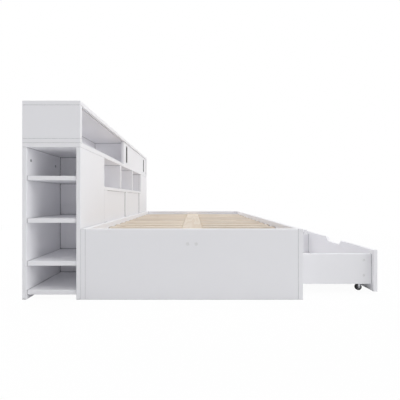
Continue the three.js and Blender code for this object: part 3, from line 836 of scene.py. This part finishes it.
class DAYBED_OT_pulls(bpy.types.Operator):
    """Mould the door's two flush pulls"""

    bl_idname = "daybed.pulls"
    bl_label = "Door pulls"

    def execute(self, context):
        pulls = context.scene.daybed_pulls
        black = plain_finish(
            "black_moulded_plastic",
            pulls.colour,
            0.42,
            grain_scale=1600.0,
            grain_height=0.03 * MM,
        )
        for name in ("near_door_pull", "far_door_pull"):
            self.mould(name, pulls, black)
        return {"FINISHED"}

    def mould(self, name, pulls, black):
        """A stadium cup with a rounded lip, lofted from rings of (inset, height above the door)."""
        low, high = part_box(name)
        face = high.x - pulls.lip_height
        back = low.x - face
        lip, wall, top = pulls.lip, pulls.wall, pulls.lip_height + pulls.bead
        floor = back + wall
        hollow = lip + wall
        sections = [
            (lip + 1.2 * MM, back),
            (lip + 0.3 * MM, back + 0.3 * MM),
            (lip, back + 1.2 * MM),
            (lip, 0.0),
            (0.0, 0.0),
            (0.0, 0.4 * top),
            (0.15 * lip, 0.8 * top),
            (0.5 * lip, top),
            (0.5 * (lip + hollow), top),
            (hollow - 0.8 * MM, 0.85 * top),
            (hollow - 0.2 * MM, 0.4 * top),
            (hollow, -0.5 * top),
            (hollow + 0.3 * MM, floor + 2.0 * MM),
            (hollow + 1.2 * MM, floor + 0.5 * MM),
            (hollow + 2.8 * MM, floor),
        ]
        made = bmesh.new()
        centre = (low + high) / 2
        radius = (high.y - low.y) / 2
        straight = (high.z - low.z) / 2 - radius
        rings = [self.ring(made, radius - inset, straight, face + x, centre) for inset, x in sections]
        count = len(rings[0])
        for lower, upper in zip(rings, rings[1:]):
            bridge(made, lower, upper, count)
        made.faces.new(rings[0])
        made.faces.new(rings[-1])
        add_piece(name.replace("pull", "cup"), made, black, DOOR_BODY, [name], 50)

    def ring(self, made, radius, straight, x, centre, steps=20):
        """The points of one upright stadium outline."""
        points = []
        for end in (1, -1):
            for step in range(steps + 1):
                angle = math.pi * step / steps + (0 if end > 0 else math.pi)
                y = centre.y + radius * math.cos(angle)
                z = centre.z + end * straight + radius * math.sin(angle)
                points.append(made.verts.new((x, y, z)))
        return points


class DAYBED_OT_casters(bpy.types.Operator):
    """Build the casters' tyres and hubs, and finish their rails"""

    bl_idname = "daybed.casters"
    bl_label = "Casters"

    def execute(self, context):
        casters = context.scene.daybed_casters
        rubber = plain_finish("tyre_rubber", casters.tyre_colour, 0.6, 1400.0, 0.05 * MM)
        plastic = plain_finish("hub_plastic", casters.hub_colour, 0.45, 1200.0, 0.03 * MM)
        zinc = plain_finish("zinc_plate", (0.62, 0.63, 0.65), 0.34, 600.0, 0.02 * MM, Metallic=1.0)
        finish_nodes(nodes_of_slot("zinc"), zinc)
        for drawer in DRAWERS:
            for side in SIDES:
                for end in ENDS:
                    self.build_wheel(drawer, side, end, casters, rubber, plastic)
        return {"FINISHED"}

    def build_wheel(self, drawer, side, end, casters, rubber, plastic):
        """A rubber tyre with rounded shoulders on a ribbed hub."""
        name = f"{drawer}_drawer_{side}_{end}_wheel"
        body = f"{drawer}_{side}_{end}_wheel"
        low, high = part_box(name)
        matrix = facing((0, 1, 0), (low + high) / 2)
        radius = (high.z - low.z) / 2
        half = (high.y - low.y) / 2
        rim = radius - casters.tyre_depth
        tyre = [
            (rim, -half + 0.6 * MM),
            (rim + 0.7 * MM, -half),
            (radius - 3.2 * MM, -half),
            (radius - 1.4 * MM, -half + 0.8 * MM),
            (radius - 0.3 * MM, -half + 2.4 * MM),
            (radius, -half + 4.4 * MM),
            (radius, half - 4.4 * MM),
            (radius - 0.3 * MM, half - 2.4 * MM),
            (radius - 1.4 * MM, half - 0.8 * MM),
            (radius - 3.2 * MM, half),
            (rim + 0.7 * MM, half),
            (rim, half - 0.6 * MM),
        ]
        made = turned(tyre, 64)
        bmesh.ops.transform(made, matrix=matrix, verts=made.verts)
        add_piece(f"{body}_tyre", made, rubber, body, [name], 50)
        bore = casters.axle_radius + HUB_BORE_GAP
        web = half - HUB_WEB_SINK
        hub = [
            (bore, -half),
            (6.6 * MM, -half),
            (7.6 * MM, -half + 0.8 * MM),
            (8.2 * MM, -web),
            (rim - 1.4 * MM, -web),
            (rim - 0.6 * MM, -half + 1.1 * MM),
            (rim, -half + 1.0 * MM),
            (rim, half - 1.0 * MM),
            (rim - 0.6 * MM, half - 1.1 * MM),
            (rim - 1.4 * MM, web),
            (8.2 * MM, web),
            (7.6 * MM, half - 0.8 * MM),
            (6.6 * MM, half),
            (bore, half),
        ]
        made = turned(hub, 48)
        bmesh.ops.transform(made, matrix=matrix, verts=made.verts)
        self.add_ribs(made, low, high, rim, web, half)
        add_piece(f"{body}_hub", made, plastic, body)

    def add_ribs(self, made, low, high, rim, web, half, count=6):
        """Thin ribs on both faces of the web, from the boss out to the rim."""
        centre = (low + high) / 2
        for index in range(count):
            turn = Matrix.Rotation(2 * math.pi * index / count, 4, "Y")
            place = Matrix.Translation(centre) @ turn
            for side in (-1, 1):
                near, far = sorted((side * (web - 0.5 * MM), side * (half - 1.4 * MM)))
                start = (RIB_START, near, -RIB_HALF)
                end = (rim - 0.3 * MM, far, RIB_HALF)
                rib = rounded_box(start, end, RIB_ROUNDING, 2)
                append_part(made, rib, place)


class DAYBED_OT_fasteners(bpy.types.Operator):
    """Set the cam caps, bolt caps, axle rivets and screws"""

    bl_idname = "daybed.fasteners"
    bl_label = "Caps and screws"

    def execute(self, context):
        sizes = context.scene.daybed_fasteners
        cap = plain_finish("cap_plastic", sizes.cap_colour, 0.5, 900.0, 0.02 * MM)
        # A darker copy of the cap plastic: painted shade for the caps inside the end modules
        module_cap = plain_finish("shaded_module_cap_plastic", sizes.module_cap_shade_colour, 0.5, 900.0, 0.02 * MM)
        screw_zinc = plain_finish("screw_zinc", (0.55, 0.55, 0.56), 0.3, 900.0, 0.01 * MM, Metallic=1.0)
        self.cap_beam_bolts(sizes, cap)
        self.cap_end_modules(sizes, module_cap)
        for drawer in DRAWERS:
            self.cap_drawer(drawer, sizes, cap)
            self.rivet_and_screw_rails(drawer, sizes, screw_zinc)
        self.screw_slats(sizes, screw_zinc)
        return {"FINISHED"}

    def cap(self, radius, proud):
        """A pressed-in plastic cap: a disc with a raised rim, its lower edge sunk into the board."""
        sunk = 0.8 * MM
        return turned(
            [
                (0.0, -sunk),
                (radius - 0.3 * MM, -sunk),
                (radius - 0.3 * MM, 0.0),
                (radius, 0.1 * proud),
                (radius, 0.5 * proud),
                (radius - 0.3 * MM, proud),
                (radius - 1.1 * MM, proud),
                (radius - 1.5 * MM, 0.45 * proud),
                (0.0, 0.45 * proud),
            ],
            40,
        )

    def screw(self, radius):
        """The pan head of a screw or rivet."""
        height = 0.62 * radius
        dome = [
            (0.0, -0.5 * MM),
            (radius * 0.96, -0.5 * MM),
            (radius, 0.12 * height),
            (radius * 0.97, 0.45 * height),
            (radius * 0.82, 0.8 * height),
            (radius * 0.55, 0.97 * height),
            (radius * 0.5, height),
            (0.0, height),
        ]
        return turned(dome, 32)

    def cap_beam_bolts(self, sizes, cap):
        """Two caps side by side on each end panel, where the centre beam is bolted on."""
        low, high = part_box("centre_beam")
        centre = (low + high) / 2
        height = high.z - sizes.bolt_depth
        for end, outward in (("near", -1), ("far", 1)):
            panel_low, panel_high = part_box(f"{end}_end_panel")
            y = panel_low.y if outward < 0 else panel_high.y
            made = bmesh.new()
            for side in (-1, 1):
                place = (centre.x + side * sizes.bolt_spacing / 2, y, height)
                cap_part = self.cap(sizes.bolt_cap_radius, BOLT_CAP_PROUD)
                append_part(made, cap_part, facing((0, outward, 0), place))
            add_piece(f"{end}_end_bolt_caps", made, cap, MAIN_BODY)

    def cap_end_modules(self, sizes, cap):
        """Cam caps on the panels of each end module's upper compartment."""
        for end in ("near", "far"):
            shelf_low, shelf_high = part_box(f"{end}_upper_shelf")
            part_low, part_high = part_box(f"{end}_partition")
            panel_low, panel_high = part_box(f"{end}_rear_panel")
            mouth = panel_low.y if end == "near" else panel_high.y
            inward = 1 if end == "near" else -1
            back = part_low.y if end == "near" else part_high.y
            made = bmesh.new()
            for x, direction in ((shelf_low.x, 1), (shelf_high.x, -1)):
                for y in (mouth + inward * MODULE_CAP_INSET, back - inward * MODULE_CAP_DEPTH):
                    cap_part = self.cap(sizes.cam_cap_radius, MODULE_CAP_PROUD)
                    place = (x, y, shelf_high.z + MODULE_CAP_HEIGHT)
                    append_part(made, cap_part, facing((direction, 0, 0), place))
            add_piece(f"{end}_module_cam_caps", made, cap, MAIN_BODY)

    def cap_drawer(self, drawer, sizes, cap):
        """Cam caps where the drawer's sides meet its front, on the outside of both sides."""
        made = bmesh.new()
        for side, outward in (("left", -1), ("right", 1)):
            low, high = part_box(f"{drawer}_drawer_{side}_side")
            y = low.y if outward < 0 else high.y
            for height in DRAWER_CAP_HEIGHTS:
                cap_part = self.cap(DRAWER_CAP_SHARE * sizes.cam_cap_radius, DRAWER_CAP_PROUD)
                place = (high.x - DRAWER_CAP_SETBACK, y, height)
                append_part(made, cap_part, facing((0, outward, 0), place))
        add_piece(f"{drawer}_drawer_cam_caps", made, cap, f"{drawer}_drawer")

    def rivet_and_screw_rails(self, drawer, sizes, metal):
        """Rivet heads on the forks' axles and screws through the strips into the drawer's bottom."""
        made = bmesh.new()
        for side in SIDES:
            low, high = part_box(f"{drawer}_drawer_{side}_caster_rail")
            for end in ENDS:
                wheel_low, wheel_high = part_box(f"{drawer}_drawer_{side}_{end}_wheel")
                centre = (wheel_low + wheel_high) / 2
                fork = (wheel_high.y - wheel_low.y) / 2 + FORK_SIDE
                for outward in (-1, 1):
                    place = (centre.x, centre.y + outward * fork, centre.z)
                    append_part(made, self.screw(RIVET_RADIUS), facing((0, outward, 0), place))
            for share in RAIL_SCREW_SHARES:
                x = low.x + share * (high.x - low.x)
                for offset in (-RAIL_SCREW_OFFSET, RAIL_SCREW_OFFSET):
                    place = (x, (low.y + high.y) / 2 + offset, high.z - STRIP_THICKNESS)
                    matrix = facing((0, 0, -1), place)
                    append_part(made, self.screw(sizes.screw_radius), matrix)
        add_piece(f"{drawer}_drawer_rail_screws", made, metal, f"{drawer}_drawer")

    def screw_slats(self, sizes, metal):
        """One screw at both ends of the first and last slat of each roll."""
        slats = bpy.context.scene.daybed_slats
        made = bmesh.new()
        for roll in ("rear_slat_roll", "front_slat_roll"):
            low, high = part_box(roll)
            for x in (low.x + SLAT_SCREW_INSET, high.x - SLAT_SCREW_INSET):
                for y in (low.y + slats.width / 2, high.y - slats.width / 2):
                    matrix = facing((0, 0, 1), (x, y, high.z - SLAT_SCREW_SUNK))
                    append_part(made, self.screw(sizes.screw_radius), matrix)
        add_piece("slat_screws", made, metal, MAIN_BODY)


class DAYBED_OT_stage(bpy.types.Operator):
    """Set the camera, the pale floor, the white surroundings and the lamps"""

    bl_idname = "daybed.stage"
    bl_label = "Stage"

    def execute(self, context):
        stage = context.scene.daybed_stage
        context.scene.view_settings.view_transform = "Standard"
        context.scene.cycles.diffuse_bounces = DIFFUSE_BOUNCES
        self.set_camera(context.scene, stage)
        self.lay_floor(stage)
        self.light(context.scene, stage)
        return {"FINISHED"}

    def set_camera(self, scene, stage):
        """Looks level along the bed from beyond its near end."""
        data = bpy.data.cameras.new("camera")
        data.lens = stage.lens
        data.sensor_width = SENSOR_WIDTH
        data.shift_x, data.shift_y = stage.shift
        data.clip_end = FAR_CLIP
        camera = bpy.data.objects.new("camera", data)
        camera.location = stage.camera_place
        camera.rotation_euler = (math.radians(90), 0, 0)
        scene.collection.objects.link(camera)
        scene.camera = camera

    def lay_floor(self, stage):
        """A wide pale floor that takes the object's shadow and fades into the surroundings."""
        half = FLOOR_HALF
        mesh = bpy.data.meshes.new("floor")
        z = -FLOOR_DROP
        corners = [(-half, -half, z), (half, -half, z), (half, half, z), (-half, half, z)]
        mesh.from_pydata(corners, [], [(0, 1, 2, 3)])
        floor = bpy.data.objects.new("floor", mesh)
        bpy.context.scene.collection.objects.link(floor)
        material = bpy.data.materials.new("pale_floor")
        material.use_nodes = True
        tree = material.node_tree
        tree.nodes.remove(tree.nodes["Principled BSDF"])
        matt = node(tree, "ShaderNodeBsdfDiffuse", {"Color": opaque(stage.floor_colour)})
        glow = node(tree, "ShaderNodeEmission", {"Color": (1, 1, 1, 1), "Strength": 1.0})
        path = tree.nodes.new("ShaderNodeLightPath")
        place = tree.nodes.new("ShaderNodeTexCoord").outputs["Object"]
        distance = node(tree, "ShaderNodeVectorMath", {0: place}, operation="LENGTH").outputs["Value"]
        far = smooth_step(tree, distance, FADE_START, FADE_END)
        glow_share = maths(tree, "MULTIPLY_ADD", far, 1.0 - stage.floor_glow, stage.floor_glow)
        share = maths(tree, "MULTIPLY", path.outputs["Is Camera Ray"], glow_share)
        mixed = node(tree, "ShaderNodeMixShader", {0: share, 1: matt.outputs[0], 2: glow.outputs[0]})
        tree.links.new(mixed.outputs[0], tree.nodes["Material Output"].inputs["Surface"])
        mesh.materials.append(material)

    def light(self, scene, stage):
        """White surroundings as seen and mirrored, a dim ambient light, two softboxes and a high sun."""
        world = bpy.data.worlds.new("surroundings")
        scene.world = world
        world.use_nodes = True
        tree = world.node_tree
        path = tree.nodes.new("ShaderNodeLightPath")
        seen = maths(tree, "MAXIMUM", path.outputs["Is Camera Ray"], path.outputs["Is Glossy Ray"])
        seen = maths(tree, "MAXIMUM", seen, path.outputs["Is Transmission Ray"])
        dim = opaque([part * stage.ambient for part in stage.ambient_colour])
        colour = blend_colours(tree, seen, dim, (1.0, 1.0, 1.0, 1.0))
        background = tree.nodes["Background"]
        tree.links.new(colour, background.inputs["Color"])
        background.inputs["Strength"].default_value = 1.0
        self.add_softbox("front_softbox", stage.front_power, FRONT_LAMP_SIZE, FRONT_LAMP_PLACE)
        self.add_softbox("back_softbox", stage.back_power, BACK_LAMP_SIZE, BACK_LAMP_PLACE)
        data = bpy.data.lights.new("top_sun", "SUN")
        data.energy = stage.top_strength
        data.angle = math.radians(SUN_SPREAD)
        sun = bpy.data.objects.new("top_sun", data)
        sun.rotation_euler = Vector(SUN_DIRECTION).to_track_quat("Z", "Y").to_euler()
        scene.collection.objects.link(sun)

    def add_softbox(self, name, power, size, place):
        """A wide lamp that the camera doesn't see, turned towards the middle of the object."""
        data = bpy.data.lights.new(name, "AREA")
        data.energy = power
        data.shape = "RECTANGLE"
        data.size, data.size_y = size
        lamp = bpy.data.objects.new(name, data)
        lamp.location = place
        towards = Vector(place) - Vector(LAMP_TARGET)
        lamp.rotation_euler = towards.to_track_quat("Z", "Y").to_euler()
        lamp.visible_camera = False
        lamp.visible_glossy = False
        bpy.context.scene.collection.objects.link(lamp)


class DAYBED_PT_panel(bpy.types.Panel):
    """Lists the daybed's build steps and settings"""

    bl_idname = "DAYBED_PT_panel"
    bl_label = "Daybed"
    bl_space_type = "VIEW_3D"
    bl_region_type = "UI"
    bl_category = "Daybed"

    def draw(self, context):
        for step in STEPS:
            self.layout.operator(step.bl_idname)
        for group in SETTINGS:
            box = self.layout.box()
            held = getattr(context.scene, group)
            for name in held.__annotations__:
                box.prop(held, name)


STEPS = (
    DAYBED_OT_stage,
    DAYBED_OT_boards,
    DAYBED_OT_slats,
    DAYBED_OT_pulls,
    DAYBED_OT_casters,
    DAYBED_OT_fasteners,
)

SETTINGS = {
    "daybed_boards": DaybedBoardSettings,
    "daybed_slats": DaybedSlatSettings,
    "daybed_pulls": DaybedPullSettings,
    "daybed_casters": DaybedCasterSettings,
    "daybed_fasteners": DaybedFastenerSettings,
    "daybed_stage": DaybedStageSettings,
}


def register():
    for made in (*SETTINGS.values(), *STEPS, DAYBED_PT_panel):
        bpy.utils.register_class(made)
    for name, made in SETTINGS.items():
        setattr(bpy.types.Scene, name, PointerProperty(type=made))


def unregister():
    for name in SETTINGS:
        delattr(bpy.types.Scene, name)
    for made in reversed((*SETTINGS.values(), *STEPS, DAYBED_PT_panel)):
        bpy.utils.unregister_class(made)


def main():
    """Run every step in order."""
    register()
    for step in STEPS:
        area, action = step.bl_idname.split(".")
        getattr(getattr(bpy.ops, area), action)()


if __name__ == "__main__":
    main()
